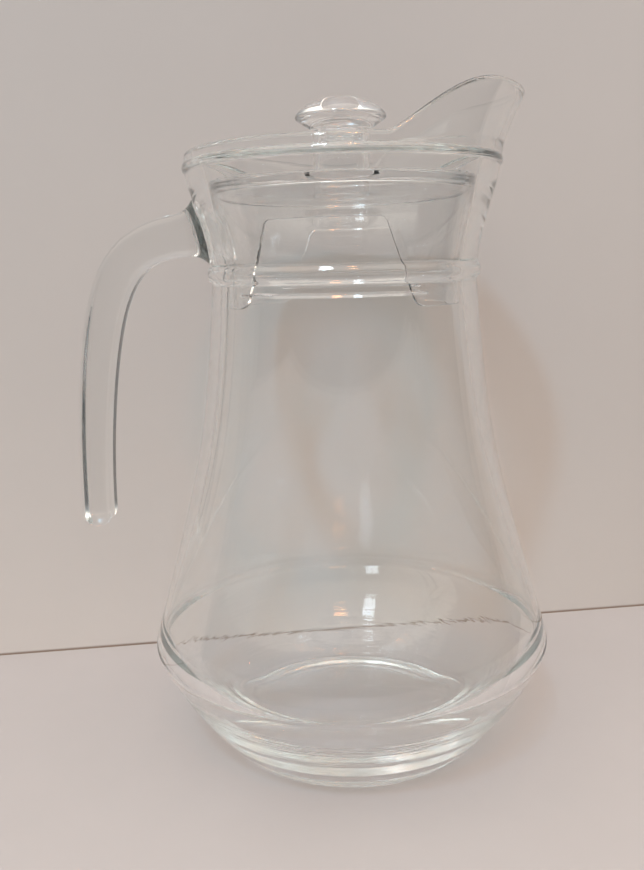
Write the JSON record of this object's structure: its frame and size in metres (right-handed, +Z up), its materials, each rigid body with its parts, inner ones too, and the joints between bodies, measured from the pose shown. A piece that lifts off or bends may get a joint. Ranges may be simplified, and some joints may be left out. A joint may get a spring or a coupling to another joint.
{
  "type": "glass water jug with lid",
  "caption": "Clear glass water jug with a splayed body, raised pouring spout and open-ended handle, and a clear plastic lid recessed in its mouth that turns and lifts out by a knob.",
  "frame": {"origin": "on the jug's axis, in the plane of the foot ring that it stands on", "axes": "+Z up along the jug's axis, +X towards the spout, -X towards the handle"},
  "size_m": [0.1722, 0.1468, 0.23],
  "materials": {
    "glass": "clear pressed and blown soda-lime glass, fire-polished",
    "clear_plastic": "clear injection-moulded plastic, polished"
  },
  "bodies": {
    "jug": {"jug_body": "glass", "handle": "glass"},
    "knob": {"lid_knob": "clear_plastic"},
    "lid": {"lid": "clear_plastic"}
  },
  "joints": [
    {"name": "lid_lift", "type": "slide", "parent": "jug", "child": "knob", "axis": [0, 0, 1], "range_m": [0, 0.085]},
    {"name": "lid_turn", "type": "hinge", "parent": "knob", "child": "lid", "pos_m": [0, 0, 0.2026], "axis": [0, 0, 1], "continuous": true}
  ]
}
